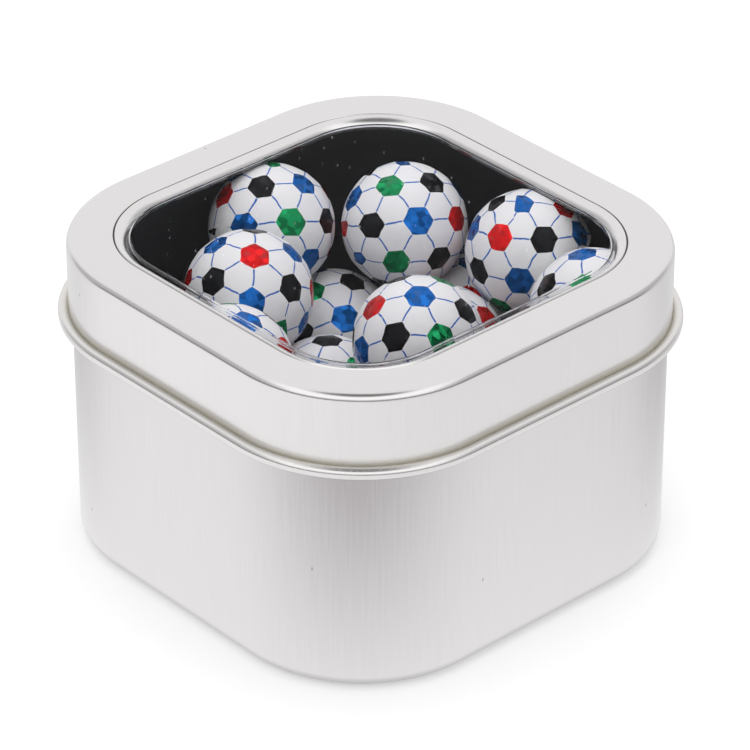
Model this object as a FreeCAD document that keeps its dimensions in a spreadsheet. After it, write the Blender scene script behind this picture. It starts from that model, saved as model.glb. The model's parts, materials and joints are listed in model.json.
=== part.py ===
import FreeCAD, Part
import math
import os
import Sketcher

# Window lid tin: a drawn square tin with rounded corners, a slip lid with a clear window
# pressed up into it, and a fill of foil-wrapped chocolate balls. Millimetres, +Z up,
# origin on the table under the middle of the tin, sides along X and Y.

# Driving dimensions: alias, size, what it measures
DIMENSIONS = [
    ("sheet_thickness", 0.3, "tinplate of the body and the lid"),
    ("base_radius", 3.4, "outside of the drawn edge round the base"),
    ("rim_bead_radius", 0.8, "outside of the body's inward curled rim"),
    ("lid_clearance", 0.3, "slip fit of the lid round the body"),
    ("skirt_depth", 13.7, "lid top to the middle of its hem"),
    ("shoulder_radius", 1.5, "outside of the edge round the lid top"),
    ("hem_radius", 1.05, "outside of the lid's outward curled hem"),
    ("frame_width", 9.8, "lid's outside to the clear opening of the window"),
    ("lip_radius", 2.1, "outside of the lip rolled down round the window"),
    ("pane_thickness", 0.3, "clear sheet of the window"),
    ("pane_recess", 0.5, "lid top down to the pane's face"),
    ("pane_edge_radius", 0.5, "outside of the bend round the pane's face"),
    ("pane_clearance", 0.3, "pane to the lip round it and to the skirt"),
    ("seat_gap", 0.1, "faces that rest on each other"),
    ("lap", 1.0, "how far a plate runs into the ring round it"),
    ("ball_diameter", 21.6, "outside of a wrapped ball"),
    ("foil_thickness", 0.15, "wrap of a ball, with its folds pressed flat"),
    ("core_gap", 0.1, "foil to the chocolate in it"),
    ("ball_gap", 0.2, "ball to ball and ball to wall"),
    ("head_room", 0.8, "highest ball to the pane"),
    ("room_pitches", 1.405, "tin's middle to a ball at its wall, in ball pitches"),
    ("corner_pitches", 0.605, "radius that a ball rolls round in a corner, in ball pitches"),
]

# Where each ball lies, from the bottom up: shares of the way from the tin's middle to the
# place where a ball meets the wall, along X and along Y. The tin is drawn round this fill.
BALL_PLACES = [
    (-0.88, -0.85), (0.98, -0.15), (-0.86, 0.86), (-0.16, -0.82), (0.69, -0.98),
    (0.02, 0.16), (0.29, 0.99), (0.98, 0.69), (-0.99, -0.13),
    (0.62, -0.98), (-0.31, 0.99), (0.93, 0.28),
    (-0.67, 0.33), (-0.02, -0.29), (0.14, 0.41),
    (-0.98, 0.15), (-0.49, 0.70), (0.20, 0.99), (-0.49, -0.44),
    (0.47, -0.08), (0.90, 0.80), (-0.02, -0.978),
]

doc = FreeCAD.newDocument("window_lid_tin")
dims = doc.addObject("Spreadsheet::Sheet", "dims")


def add_size(name, value, meaning):
    """Adds one row to the sheet: its name, its value under that alias, and what it measures."""
    row = add_size.next_row
    add_size.next_row += 1
    dims.set("A%d" % row, name)
    dims.set("B%d" % row, "%.4f" % value)
    dims.setAlias("B%d" % row, name)
    dims.set("C%d" % row, meaning)


add_size.next_row = 1
for entry in DIMENSIONS:
    add_size(*entry)
doc.recompute()


def value(expression):
    """The number that an expression on the sheet comes to."""
    return float(dims.evalExpression(expression))


# Places worked out from the sheet, as expressions
SHEET = "dims.sheet_thickness"
BALL_RADIUS = "(dims.ball_diameter / 2)"
BALL_PITCH = "(dims.ball_diameter + dims.ball_gap)"
BALL_ROOM = f"(dims.room_pitches * {BALL_PITCH})"
CORNER_ROOM = f"(dims.corner_pitches * {BALL_PITCH})"
ROUND_A_BALL = f"({BALL_RADIUS} + dims.ball_gap + {SHEET})"
BODY_HALF = f"({BALL_ROOM} + {ROUND_A_BALL})"
BODY_CORNER = f"({CORNER_ROOM} + {ROUND_A_BALL})"
FLOOR_LEVEL = f"({SHEET} + dims.seat_gap + {BALL_RADIUS})"


def plan_place(share):
    """A ball's place in plan, drawn in where the tin's rounded corner would stop it."""
    room = value(BALL_ROOM)
    corner = value(CORNER_ROOM)
    middle = room - corner
    x, y = (room * s for s in share)
    over_x, over_y = abs(x) - middle, abs(y) - middle
    reach = math.hypot(over_x, over_y)
    if min(over_x, over_y) > 0 and reach > corner:
        x = math.copysign(middle + over_x * corner / reach, x)
        y = math.copysign(middle + over_y * corner / reach, y)
    return x, y


def stack_balls(shares):
    """Lets the balls down one by one: each stops on the floor or on the first ball it meets."""
    pitch = value(BALL_PITCH)
    placed = []
    for share in shares:
        x, y = plan_place(share)
        level = value(FLOOR_LEVEL)
        for bx, by, bz in placed:
            apart = math.hypot(x - bx, y - by)
            if apart < pitch:
                level = max(level, bz + math.sqrt(pitch ** 2 - apart ** 2))
        placed.append((x, y, level))
    return placed


ball_centres = stack_balls(BALL_PLACES)
for number, centre in enumerate(ball_centres, 1):
    for axis, place in zip("xyz", centre):
        add_size("ball_%02d_%s" % (number, axis), place, "middle of ball %d along %s" % (number, axis))
highest = max(centre[2] for centre in ball_centres)
add_size("fill_level", highest + value(BALL_RADIUS), "top of the highest ball")
doc.recompute()

# Heights, from the fill up: the window clears the highest ball and the lid follows the window
PANE_UNDER = "(dims.fill_level + dims.head_room)"
PANE_FACE = f"({PANE_UNDER} + dims.pane_thickness)"
LID_TOP = f"({PANE_FACE} + dims.pane_recess)"
LIP_UP, LIP_ACROSS = "cos(60 deg)", "sin(60 deg)"
LIP_LEVEL = f"({LID_TOP} - dims.lip_radius)"
LIP_EDGE = f"({LIP_LEVEL} + (dims.lip_radius - {SHEET}) * {LIP_UP})"
FLANGE_TOP = f"({LIP_EDGE} - dims.seat_gap)"
FLANGE_UNDER = f"({FLANGE_TOP} - dims.pane_thickness)"
RIM_TOP = f"({FLANGE_UNDER} - dims.seat_gap)"
HEM_LEVEL = f"({LID_TOP} - dims.skirt_depth)"

# Half widths and corner radii, from the body out to the lid and in to the window
LID_STEP = f"(dims.lid_clearance + {SHEET})"
LID_HALF = f"({BODY_HALF} + {LID_STEP})"
LID_CORNER = f"({BODY_CORNER} + {LID_STEP})"
WINDOW_HALF = f"({LID_HALF} - dims.frame_width)"
PANE_HALF = f"({WINDOW_HALF} - dims.pane_clearance)"
PANE_CORNER = f"({LID_CORNER} - dims.frame_width - dims.pane_clearance)"
FLANGE_HALF = f"({LID_HALF} - {SHEET} - dims.pane_clearance)"


def sketch_on(body, role, name):
    """A sketch on one of the body's own origin planes."""
    plane = next(f for f in body.Origin.OriginFeatures if f.Role == role)
    sketch = body.newObject("Sketcher::SketchObject", name)
    sketch.AttachmentSupport = (plane, [""])
    sketch.MapMode = "FlatFace"
    return sketch


def pin(sketch, geometry, end, across, along):
    """Ties one end of a line or an arc to its two coordinates."""
    for kind, axis, place in (("DistanceX", -2, across), ("DistanceY", -1, along)):
        if place == "0":
            sketch.addConstraint(Sketcher.Constraint("PointOnObject", geometry, end, axis))
            continue
        tie = Sketcher.Constraint(kind, -1, 1, geometry, end, value(place))
        sketch.setExpression("Constraints[%d]" % sketch.addConstraint(tie), place)


def draw(sketch, corners):
    """Draws a closed outline through its corners.

    A corner is (across, along), reached by a line, or (across, along, centre across, centre
    along, radius, turn), reached by an arc about that centre: turn 1 is anticlockwise.
    """
    begins, ends = [], []
    for index, corner in enumerate(corners):
        before = corners[index - 1]
        start = FreeCAD.Vector(value(before[0]), value(before[1]), 0)
        stop = FreeCAD.Vector(value(corner[0]), value(corner[1]), 0)
        if len(corner) == 2:
            geometry = sketch.addGeometry(Part.LineSegment(start, stop))
            first, last = 1, 2
        else:
            middle = FreeCAD.Vector(value(corner[2]), value(corner[3]), 0)
            turn = corner[5]
            low, high = (start, stop) if turn > 0 else (stop, start)
            from_angle = math.atan2(low.y - middle.y, low.x - middle.x)
            to_angle = math.atan2(high.y - middle.y, high.x - middle.x)
            while to_angle <= from_angle:
                to_angle += 2 * math.pi
            circle = Part.Circle(middle, FreeCAD.Vector(0, 0, 1), value(corner[4]))
            geometry = sketch.addGeometry(Part.ArcOfCircle(circle, from_angle, to_angle))
            first, last = (1, 2) if turn > 0 else (2, 1)
            bend = Sketcher.Constraint("Radius", geometry, value(corner[4]))
            sketch.setExpression("Constraints[%d]" % sketch.addConstraint(bend), corner[4])
        begins.append((geometry, first))
        ends.append((geometry, last))
    for index, corner in enumerate(corners):
        onward = begins[(index + 1) % len(corners)]
        sketch.addConstraint(Sketcher.Constraint("Coincident", *ends[index], *onward))
        pin(sketch, *ends[index], corner[0], corner[1])


def rounded_square(half, radius):
    """Corners of a square with rounded corners, starting in the middle of its +X side."""
    inner = f"({half} - {radius})"
    less = {1: "", -1: "-"}
    corners = [(half, "0")]
    for sx, sy, along_first in ((1, 1, True), (-1, 1, False), (-1, -1, True), (1, -1, False)):
        side = (f"{less[sx]}({half})", f"{less[sy]}{inner}")
        cap = (f"{less[sx]}{inner}", f"{less[sy]}({half})")
        enter, leave = (side, cap) if along_first else (cap, side)
        corners.append(enter)
        corners.append((*leave, f"{less[sx]}{inner}", f"{less[sy]}{inner}", radius, 1))
    return corners


def ring(body, name, half, radius, profile):
    """Carries an upright profile round a rounded square."""
    path = sketch_on(body, "XY_Plane", name + "_path")
    draw(path, rounded_square(half, radius))
    section = sketch_on(body, "XZ_Plane", name + "_profile")
    draw(section, profile)
    doc.recompute()
    pipe = body.newObject("PartDesign::AdditivePipe", name)
    pipe.Profile = section
    pipe.Spine = (path, ["Edge%d" % (i + 1) for i in range(len(path.Geometry))])
    return pipe


def plate(body, name, half, radius, level, thickness):
    """A flat rounded square whose underside lies at a level."""
    sketch = sketch_on(body, "XY_Plane", name + "_outline")
    sketch.setExpression("AttachmentOffset.Base.z", level)
    draw(sketch, rounded_square(half, radius))
    doc.recompute()
    pad = body.newObject("PartDesign::Pad", name)
    pad.Profile = sketch
    pad.setExpression("Length", thickness)
    return pad


def new_body(name):
    body = doc.addObject("PartDesign::Body", name)
    body.Label = name
    return body


def make_tin_body():
    """Drawn can: floor, base edge, straight wall and a rim curled inward."""
    body = new_body("tin_body")
    inner = f"({BODY_HALF} - {SHEET})"
    foot = f"({BODY_HALF} - dims.base_radius)"
    floor_end = f"({foot} - dims.lap)"
    bend = "dims.base_radius"
    bead = "dims.rim_bead_radius"
    bead_inside = f"({bead} - {SHEET})"
    bead_middle = f"({BODY_HALF} - {bead})"
    bead_level = f"({RIM_TOP} - {bead})"
    ring(body, "wall", BODY_HALF, BODY_CORNER, [
        (floor_end, "0"),
        (foot, "0"),
        (BODY_HALF, bend, foot, bend, bend, 1),
        (BODY_HALF, bead_level),
        (bead_middle, f"({bead_level} - {bead})", bead_middle, bead_level, bead, 1),
        (bead_middle, f"({bead_level} - {bead_inside})"),
        (inner, bead_level, bead_middle, bead_level, bead_inside, -1),
        (inner, bend),
        (foot, SHEET, foot, bend, f"({bend} - {SHEET})", -1),
        (floor_end, SHEET),
    ])
    plate(body, "floor", foot, f"({BODY_CORNER} - {bend})", "0", SHEET)
    return body


def make_lid_shell():
    """Slip lid: lip rolled down round the window, flat frame, shoulder, skirt and curled hem."""
    body = new_body("lid_shell")
    lip = "dims.lip_radius"
    lip_inside = f"({lip} - {SHEET})"
    lip_middle = f"({WINDOW_HALF} + {lip} * {LIP_ACROSS})"
    shoulder = "dims.shoulder_radius"
    shoulder_middle = f"({LID_HALF} - {shoulder})"
    shoulder_level = f"({LID_TOP} - {shoulder})"
    under = f"({LID_TOP} - {SHEET})"
    skirt_inside = f"({LID_HALF} - {SHEET})"
    hem = "dims.hem_radius"
    hem_inside = f"({hem} - {SHEET})"
    hem_middle = f"({skirt_inside} + {hem})"
    edge_across = "cos(120 deg)"
    edge_up = "sin(120 deg)"
    ring(body, "lid", LID_HALF, LID_CORNER, [
        (WINDOW_HALF, f"({LIP_LEVEL} + {lip} * {LIP_UP})"),
        (lip_middle, LID_TOP, lip_middle, LIP_LEVEL, lip, -1),
        (shoulder_middle, LID_TOP),
        (LID_HALF, shoulder_level, shoulder_middle, shoulder_level, shoulder, -1),
        (LID_HALF, HEM_LEVEL),
        (f"({hem_middle} + {hem_inside} * {edge_across})", f"({HEM_LEVEL} + {hem_inside} * {edge_up})",
         hem_middle, HEM_LEVEL, hem_inside, 1),
        (f"({hem_middle} + {hem} * {edge_across})", f"({HEM_LEVEL} + {hem} * {edge_up})"),
        (skirt_inside, HEM_LEVEL, hem_middle, HEM_LEVEL, hem, -1),
        (skirt_inside, shoulder_level),
        (shoulder_middle, under, shoulder_middle, shoulder_level, f"({shoulder} - {SHEET})", 1),
        (lip_middle, under),
        (f"({lip_middle} - {lip_inside} * {LIP_ACROSS})", LIP_EDGE, lip_middle, LIP_LEVEL, lip_inside, 1),
    ])
    return body


def make_window_pane():
    """Clear formed sheet: raised face inside the lip, bend, short wall and flange under the frame."""
    body = new_body("window_pane")
    bend = "dims.pane_edge_radius"
    bend_inside = f"({bend} - dims.pane_thickness)"
    face_half = f"({PANE_HALF} - {bend})"
    face_end = f"({face_half} - dims.lap)"
    bend_level = f"({PANE_FACE} - {bend})"
    wall_inside = f"({PANE_HALF} - dims.pane_thickness)"
    ring(body, "surround", PANE_HALF, PANE_CORNER, [
        (face_end, PANE_UNDER),
        (face_half, PANE_UNDER),
        (wall_inside, bend_level, face_half, bend_level, bend_inside, -1),
        (wall_inside, FLANGE_UNDER),
        (FLANGE_HALF, FLANGE_UNDER),
        (FLANGE_HALF, FLANGE_TOP),
        (PANE_HALF, FLANGE_TOP),
        (PANE_HALF, bend_level),
        (face_half, PANE_FACE, face_half, bend_level, bend, 1),
        (face_end, PANE_FACE),
    ])
    plate(body, "face", face_half, f"({PANE_CORNER} - {bend})", PANE_UNDER, "dims.pane_thickness")
    return body


def sphere(name, radius):
    ball = doc.addObject("Part::Sphere", name)
    ball.Label = name
    ball.setExpression("Radius", radius)
    return ball


def place_ball(piece, number):
    """Ties a piece to the middle of its ball."""
    for axis in "xyz":
        piece.setExpression("Placement.Base." + axis, "dims.ball_%02d_%s" % (number, axis))


def make_balls(count):
    """Foil wraps, each a thin round shell, and the chocolate ball inside each."""
    foil_inside = f"({BALL_RADIUS} - dims.foil_thickness)"
    outside = sphere("foil_outside", BALL_RADIUS)
    inside = sphere("foil_inside", foil_inside)
    pieces = []
    for number in range(1, count + 1):
        foil = doc.addObject("Part::Cut", "foil_wrap_%02d" % number)
        foil.Label = foil.Name
        foil.Base = outside
        foil.Tool = inside
        place_ball(foil, number)
        core = sphere("chocolate_ball_%02d" % number, f"({foil_inside} - dims.core_gap)")
        place_ball(core, number)
        pieces += [foil, core]
    return pieces


nodes = [make_tin_body(), make_lid_shell(), make_window_pane()]
nodes += make_balls(len(ball_centres))
doc.recompute()

for item in doc.Objects:
    if "Invalid" in item.State or "Error" in item.State:
        raise RuntimeError(item.Name + " did not build: " + str(item.State))

os.makedirs("parts", exist_ok=True)
for node in nodes:
    shape = node.Shape
    if shape.isNull() or not shape.isValid() or len(shape.Solids) != 1:
        raise RuntimeError(node.Label + " is not one sound solid")
    shape.exportStep("parts/" + node.Label + ".step")

print("lid top at %.2f mm, fill level %.2f mm" % (value(LID_TOP), value("dims.fill_level")))
for number, centre in enumerate(ball_centres, 1):
    print("ball %02d at %.2f %.2f %.2f" % (number, *centre))
print(len(nodes), "pieces")
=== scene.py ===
# %% [markdown]
# # A window lid tin, dressed
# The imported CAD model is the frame: it says where every piece is and how it moves. This lesson
# puts finer surfaces and real finishes on it: a drawn tinplate can, its slip lid with a clear
# window, and a fill of chocolate balls in printed foil.

# %% Load the frame
import json
import bpy
import numpy as np
from mathutils import Matrix, Vector

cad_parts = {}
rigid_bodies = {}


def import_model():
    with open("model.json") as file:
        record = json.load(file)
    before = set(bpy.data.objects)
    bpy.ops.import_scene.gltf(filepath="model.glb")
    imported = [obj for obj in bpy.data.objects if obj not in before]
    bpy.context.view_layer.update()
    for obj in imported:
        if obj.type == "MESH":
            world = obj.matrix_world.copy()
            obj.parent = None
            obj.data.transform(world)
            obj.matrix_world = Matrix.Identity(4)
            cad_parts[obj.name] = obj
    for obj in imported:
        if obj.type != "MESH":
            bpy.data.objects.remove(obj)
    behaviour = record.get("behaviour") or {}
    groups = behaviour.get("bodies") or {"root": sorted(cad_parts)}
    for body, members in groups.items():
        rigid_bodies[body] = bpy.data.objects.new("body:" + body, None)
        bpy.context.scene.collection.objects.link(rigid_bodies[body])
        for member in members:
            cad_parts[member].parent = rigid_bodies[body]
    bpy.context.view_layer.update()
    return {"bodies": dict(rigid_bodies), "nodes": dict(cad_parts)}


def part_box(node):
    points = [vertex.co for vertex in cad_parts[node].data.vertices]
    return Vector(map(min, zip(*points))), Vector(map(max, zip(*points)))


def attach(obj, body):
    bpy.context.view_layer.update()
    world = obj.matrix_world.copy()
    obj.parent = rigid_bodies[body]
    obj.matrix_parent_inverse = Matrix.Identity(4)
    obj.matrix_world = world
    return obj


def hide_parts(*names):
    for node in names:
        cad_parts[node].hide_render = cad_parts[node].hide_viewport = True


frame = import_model()
MM = 0.001

# %% [markdown]
# ## The camera
# The tin stands with a corner towards us, seen from well above its rim through a long lens. The
# direction and distance were worked out once from the tin's outlines, so they are plain numbers.
# The three directions of the view are kept, because the balls are turned as they are seen.

# %% Camera
CAMERA_AZIMUTH, CAMERA_ELEVATION = np.radians(47.879), np.radians(31.579)
CAMERA_DISTANCE = 0.7274
CAMERA_TARGET = np.array([0.00054, 0.00060, 0.02945])
FIELD_OF_VIEW = np.radians(9.803)

view_back = np.array([np.sin(CAMERA_AZIMUTH) * np.cos(CAMERA_ELEVATION),
                      -np.cos(CAMERA_AZIMUTH) * np.cos(CAMERA_ELEVATION), np.sin(CAMERA_ELEVATION)])
view_right = np.array([np.cos(CAMERA_AZIMUTH), np.sin(CAMERA_AZIMUTH), 0.0])
view_up = np.cross(view_back, view_right)

camera_data = bpy.data.cameras.new("camera")
camera_data.sensor_width = 36.0
camera_data.lens = camera_data.sensor_width / 2 / np.tan(FIELD_OF_VIEW / 2)
camera_data.clip_start = 0.01
camera = bpy.data.objects.new("camera", camera_data)
camera_turn = Matrix(np.column_stack([view_right, view_up, view_back]).tolist()).to_4x4()
camera.matrix_world = Matrix.Translation(CAMERA_TARGET + CAMERA_DISTANCE * view_back) @ camera_turn
bpy.context.scene.collection.objects.link(camera)
bpy.context.scene.camera = camera
print("lens %.1f mm" % camera_data.lens)

# %% [markdown]
# ## Sheet metal as a profile carried round a path
# A pressed tin has the same cross-section all the way round, so each sheet is one profile carried
# round a square with rounded corners. Points in a plane are written as complex numbers: a quarter
# turn is then a product with i, and an arc is a power of e.

# %% Path and profile
def rounded_square(half, corner, side_steps=10, corner_steps=28):
    """Points round a square with rounded corners and their outward normals, as x + iy.

    A quarter is the +X side, half + iy, then an arc about the corner's centre, centre + corner
    e^(ia). Each further quarter is the one before times i.
    """
    inner = half - corner
    side = half + 1j * np.linspace(-inner, inner, side_steps, endpoint=False)
    turn = np.exp(1j * np.linspace(0, np.pi / 2, corner_steps, endpoint=False))
    quarter = np.concatenate([side, inner * (1 + 1j) + corner * turn])
    outward = np.concatenate([np.ones(side_steps), turn])
    turns = 1j ** np.arange(4)[:, None]
    return (turns * quarter).ravel(), (turns * outward).ravel()


def bend(middle, radius, first, last, steps=12, squash=1.0):
    """An arc of a profile, across + i up: middle + radius (cos a + i squash sin a), a in degrees.

    Squash 1 gives a part of a circle, less than 1 a part of an oval.
    """
    angle = np.radians(np.linspace(first, last, steps))
    return middle + radius * (np.cos(angle) + 1j * squash * np.sin(angle))


def carry_round(path, outward, profile, pull):
    """A profile carried round a path: pull (path + across outward) in plan, at the height up.

    Pull is 1 on a wall. It falls to 0 over a flat plate, which draws the plate in to its middle.
    """
    plan = (path[:, None] + outward[:, None] * profile.real) * pull
    return np.stack([plan.real, plan.imag, np.broadcast_to(profile.imag, plan.shape)], axis=-1)


print("a path has", len(rounded_square(1.0, 0.5)[0]), "points")

# %% [markdown]
# ## From grid to mesh
# Every piece here is a grid that closes on itself along the path. Along its profile it either
# closes into a ring, as the lid does, or ends in a pole at both ends, as the can and the balls do.
# A pole is one vertex with a fan of triangles, so no face is squeezed to a line.

# %% Mesh builder
SHARP_ANGLE = np.radians(40)


def grid_mesh(name, points, uv_left, uv_right, ring):
    """A mesh from points [along the path, along the profile], with both ends of the path joined.

    Each cell takes its UVs from the left and the right end of its own stretch of path, so a
    pattern may break between two stretches. Cells at a pole drop their doubled corner.
    """
    count, rows = points.shape[:2]
    if ring:
        index = np.arange(count * rows).reshape(count, rows)
        index = np.hstack([index, index[:, :1]])
        vertices = points.reshape(-1, 3)
    else:
        index = np.zeros((count, rows), int)
        index[:, 1:-1] = 1 + np.arange(count * (rows - 2)).reshape(count, rows - 2)
        index[:, -1] = 1 + count * (rows - 2)
        vertices = np.vstack([points[0, 0], points[:, 1:-1].reshape(-1, 3), points[0, -1]])
    onward = np.roll(index, -1, axis=0)
    corners = np.stack([index[:, :-1], onward[:, :-1], onward[:, 1:], index[:, 1:]], axis=-1)
    uvs = np.stack([uv_left[:, :-1], uv_right[:, :-1], uv_right[:, 1:], uv_left[:, 1:]], axis=2)
    inner = slice(None) if ring else slice(1, -1)
    faces = corners[:, inner].reshape(-1, 4).tolist()
    face_uvs = [uvs[:, inner].reshape(-1, 2)]
    if not ring:
        for cell, kept in ((0, [0, 2, 3]), (-1, [0, 1, 3])):
            faces += corners[:, cell, kept].tolist()
            face_uvs.append(uvs[:, cell, kept].reshape(-1, 2))
    mesh = bpy.data.meshes.new(name)
    mesh.from_pydata(vertices.tolist(), [], faces)
    mesh.uv_layers.new(name="surface").data.foreach_set("uv", np.vstack(face_uvs).ravel())
    mesh.shade_smooth()
    mesh.set_sharp_from_angle(angle=SHARP_ANGLE)
    return mesh


def sheet_mesh(name, path, outward, profile, pull, ring):
    """A sheet's mesh, with UVs in metres: the way along the path, and the way along the profile."""
    points = carry_round(path, outward, profile, pull)
    along = np.concatenate([[0], np.cumsum(np.abs(np.diff(path, append=path[:1])))])
    line = np.linalg.norm(np.diff(points[0], axis=0, append=points[0, :1]), axis=1)
    down = np.concatenate([[0], np.cumsum(line)])[:len(profile) + ring]
    uv_left, uv_right = (np.stack(np.meshgrid(s, down, indexing="ij"), axis=-1)
                         for s in (along[:-1], along[1:]))
    return grid_mesh(name, points, uv_left, uv_right, ring)


def add_piece(mesh, materials, body, node):
    """Puts a finished mesh in the scene in a node's place and on its body."""
    piece = bpy.data.objects.new(mesh.name, mesh)
    bpy.context.scene.collection.objects.link(piece)
    for material in materials:
        mesh.materials.append(material)
    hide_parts(node)
    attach(piece, body)
    return piece


print("edges sharper than %.0f degrees stay sharp" % np.degrees(SHARP_ANGLE))

# %% [markdown]
# ## Materials
# A material is a small graph of nodes. One function turns a colour from a picture's hex value to
# the linear light that a shader works in, and one adds a node with its settings and its links.

# %% Node helpers
def linear(hex_colour):
    """sRGB hex to linear RGBA: c / 12.92 for a dark channel, else ((c + 0.055) / 1.055) ^ 2.4."""
    srgb = np.array([int(hex_colour[i:i + 2], 16) / 255 for i in (1, 3, 5)])
    light = np.where(srgb <= 0.04045, srgb / 12.92, ((srgb + 0.055) / 1.055) ** 2.4)
    return (*light.tolist(), 1.0)


def add_node(tree, kind, *given, sockets=None, **settings):
    """Adds a node. Settings are its properties; given fills its inputs in order, sockets by name.

    A value is set on the input; a node, by its first output, or a socket is linked to it.
    """
    node = tree.nodes.new(kind)
    for name, setting in settings.items():
        setattr(node, name, setting)
    for name, source in [*enumerate(given), *(sockets or {}).items()]:
        if isinstance(source, bpy.types.Node):
            source = source.outputs[0]
        if isinstance(source, bpy.types.NodeSocket):
            tree.links.new(source, node.inputs[name])
        elif source is not None:
            node.inputs[name].default_value = source
    return node


def new_material(name):
    """An empty material with its output node; returns the material, its tree and the output."""
    material = bpy.data.materials.new(name)
    material.use_nodes = True
    material.node_tree.nodes.clear()
    return material, material.node_tree, add_node(material.node_tree, "ShaderNodeOutputMaterial")


print("sRGB #808080 is %.3f in linear light" % linear("#808080")[0])

# %% [markdown]
# ## Satin tinplate
# The can and the lid are steel sheet with a coat of tin, rolled to a satin finish: a pale metal
# whose reflections are soft, with a fine grain. The can's corners are painted darker, most of all
# at the top of the wall. This is mostly painted shade for the darker reflection there, with a
# little real dulling where drawing drags the sheet up the corners. The grain runs up the wall, so
# it reads the
# UV map; the painted corner shade is an attribute of the can's mesh.
# Curling the lid's hem leaves the metal hazy where the curl meets the skirt, and there the
# colour takes a painted warm shade; both are an attribute of the lid's mesh.

# %% Tinplate
TIN_COLOUR = "#e1dfdf"
# The dark end of the painted corner shade; wear and scuffs darken towards it too
SHADED_AND_WORN_TIN_COLOUR = "#b0acae"
# The painted warm shade where the lid's hem curls into the skirt
CURL_SHADE_TIN_COLOUR = "#dedbd3"
# The real grain is finer than a pixel of the render, so it is drawn this coarse to show
GRAIN_WIDTH, GRAIN_LENGTH = 0.35 * MM, 14 * MM
GRAIN_LOW, GRAIN_HIGH = 0.3, 0.7
STREAKS, WEAR, TIN_ROUGHNESS = (0.95, 1.03), (0.0, 0.04), (0.19, 0.24)
MARK_SPACING, MARK_CORE, MARK_EDGE = 26 * MM, 0.104 * MM, 0.208 * MM
MARK_STRENGTH = 0.8
HAZE_ROUGHNESS = 0.3


def drawn_tinplate():
    """Tin-coated steel, rolled satin and drawn: soft reflections, grain, scuffs, painted corner
    shade.

    The darkening shown is the painted corner shade times streaks, plus wear and scuffs. Streaks,
    wear and roughness follow the grain. Where the hem curls, the roughness goes up and the colour
    takes a painted warm shade.
    """
    material, tree, output = new_material("satin_tinplate_drawn_painted_shade")
    surface = add_node(tree, "ShaderNodeUVMap", uv_map="surface")
    grain_place = add_node(tree, "ShaderNodeVectorMath", surface,
                           (1 / GRAIN_WIDTH, 1 / GRAIN_LENGTH, 0), operation="MULTIPLY")
    grain = add_node(tree, "ShaderNodeTexNoise", sockets={
        "Vector": grain_place, "Scale": 1.0, "Detail": 3.0, "Roughness": 0.6})
    streaked, worn, rough = (
        add_node(tree, "ShaderNodeMapRange", sockets={
            "Value": grain, "From Min": GRAIN_LOW, "From Max": GRAIN_HIGH,
            "To Min": start, "To Max": end})
        for start, end in (STREAKS, WEAR, TIN_ROUGHNESS))
    mark_place = add_node(tree, "ShaderNodeVectorMath", surface,
                          (1 / MARK_SPACING, 0.5 / MARK_SPACING, 0), operation="MULTIPLY")
    marks = add_node(tree, "ShaderNodeTexVoronoi", voronoi_dimensions="2D", sockets={
        "Vector": mark_place, "Scale": 1.0})
    scuffs = add_node(tree, "ShaderNodeMapRange", sockets={
        "Value": marks.outputs["Distance"], "From Min": MARK_CORE / MARK_SPACING,
        "From Max": MARK_EDGE / MARK_SPACING, "To Min": MARK_STRENGTH, "To Max": 0.0})
    worn = add_node(tree, "ShaderNodeMath", worn, scuffs, operation="ADD")
    # Painted shade: the can's corners darker towards the top of the wall, read from its mesh
    dull = add_node(tree, "ShaderNodeAttribute", attribute_name="painted_corner_shade")
    darkening = add_node(tree, "ShaderNodeMath", dull.outputs["Fac"], streaked, worn,
                        operation="MULTIPLY_ADD")
    # Where the hem curls: more roughness, and a painted warm shade in the colour
    haze_and_shade = add_node(tree, "ShaderNodeAttribute", attribute_name="curling_haze_and_shade")
    colour = add_node(tree, "ShaderNodeMix", data_type="RGBA", sockets={
        0: darkening, 6: linear(TIN_COLOUR), 7: linear(SHADED_AND_WORN_TIN_COLOUR)})
    colour = add_node(tree, "ShaderNodeMix", data_type="RGBA", sockets={
        0: haze_and_shade.outputs["Fac"], 6: colour.outputs[2], 7: linear(CURL_SHADE_TIN_COLOUR)})
    rough = add_node(tree, "ShaderNodeMath", haze_and_shade.outputs["Fac"], HAZE_ROUGHNESS, rough,
                     operation="MULTIPLY_ADD")
    relief = add_node(tree, "ShaderNodeBump", sockets={
        "Strength": 0.04, "Distance": 0.004 * MM, "Height": grain})
    tin = add_node(tree, "ShaderNodeBsdfPrincipled", sockets={
        "Base Color": colour.outputs[2], "Metallic": 1.0, "Roughness": rough, "Normal": relief})
    tree.links.new(tin.outputs[0], output.inputs["Surface"])
    return material


tinplate = drawn_tinplate()
print(tinplate.name, len(tinplate.node_tree.nodes), "nodes")

# %% [markdown]
# ## Black lacquer
# The can is dark inside: a baked lacquer coat keeps the food off the tin. It is a thin dark film
# with a soft gloss, faintly uneven where it flowed before it set.

# %% Lacquer
# The same material is painted shade in the bottom of the lid's crease
MOTTLE_SIZE = 6 * MM


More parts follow.
